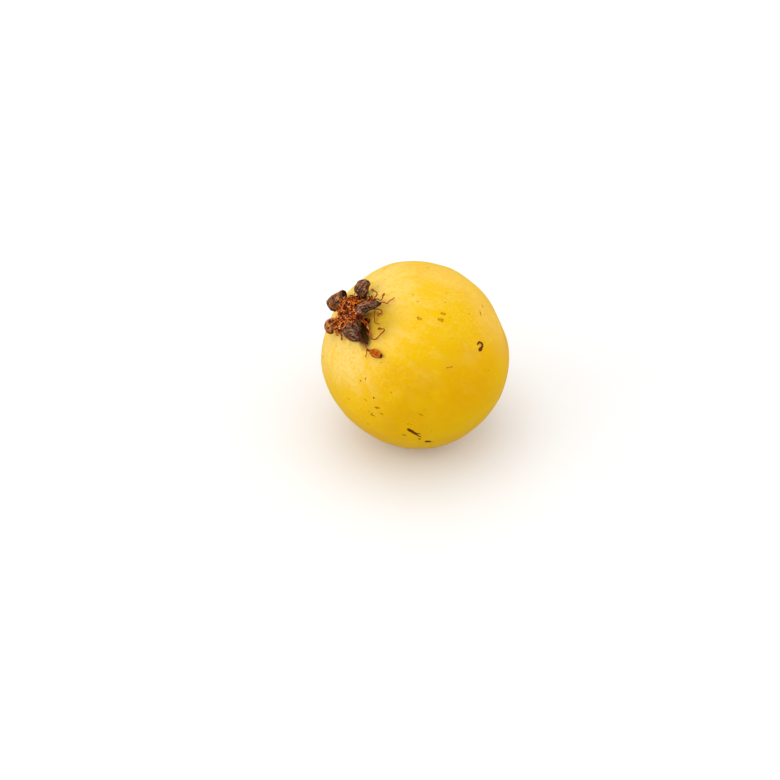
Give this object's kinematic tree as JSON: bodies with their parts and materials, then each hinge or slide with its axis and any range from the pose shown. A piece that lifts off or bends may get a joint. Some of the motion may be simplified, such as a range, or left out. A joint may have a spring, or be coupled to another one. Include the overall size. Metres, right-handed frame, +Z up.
{
  "type": "guava",
  "caption": "Small round ripe yellow guava lying on its side, its dried calyx, curled sepals, withered stamens and a scrap of petal still on one end.",
  "frame": {"origin": "centre of the small flat spot that the fruit rests on, at table height", "axes": "+Z up, out of the table; +X to the right and -Y towards the viewer of the rest pose; the calyx axis points up at 45 degrees, towards -X and 6 degrees towards the viewer"},
  "size_m": [0.0404, 0.0394, 0.0406],
  "materials": {
    "skin": "satin",
    "calyx": "matte",
    "sepal": "matte",
    "stamen": "matte",
    "style": "matte",
    "petal": "satin"
  },
  "bodies": {
    "root": {"fruit": "skin", "calyx_ring": "calyx", "sepal_far": "sepal", "sepal_low": "sepal", "sepal_front": "sepal", "sepal_pointed": "sepal", "sepal_upper": "sepal", "stamen_tuft": "stamen", "stamen_hook": "stamen", "stamen_knob": "stamen", "stamen_bent": "stamen", "stamen_loop": "stamen", "stamen_drop": "stamen", "stamen_elbow": "stamen", "stamen_front": "stamen", "stamen_low": "stamen", "stamen_stub": "stamen", "style": "style", "withered_petal": "petal"}
  },
  "joints": []
}
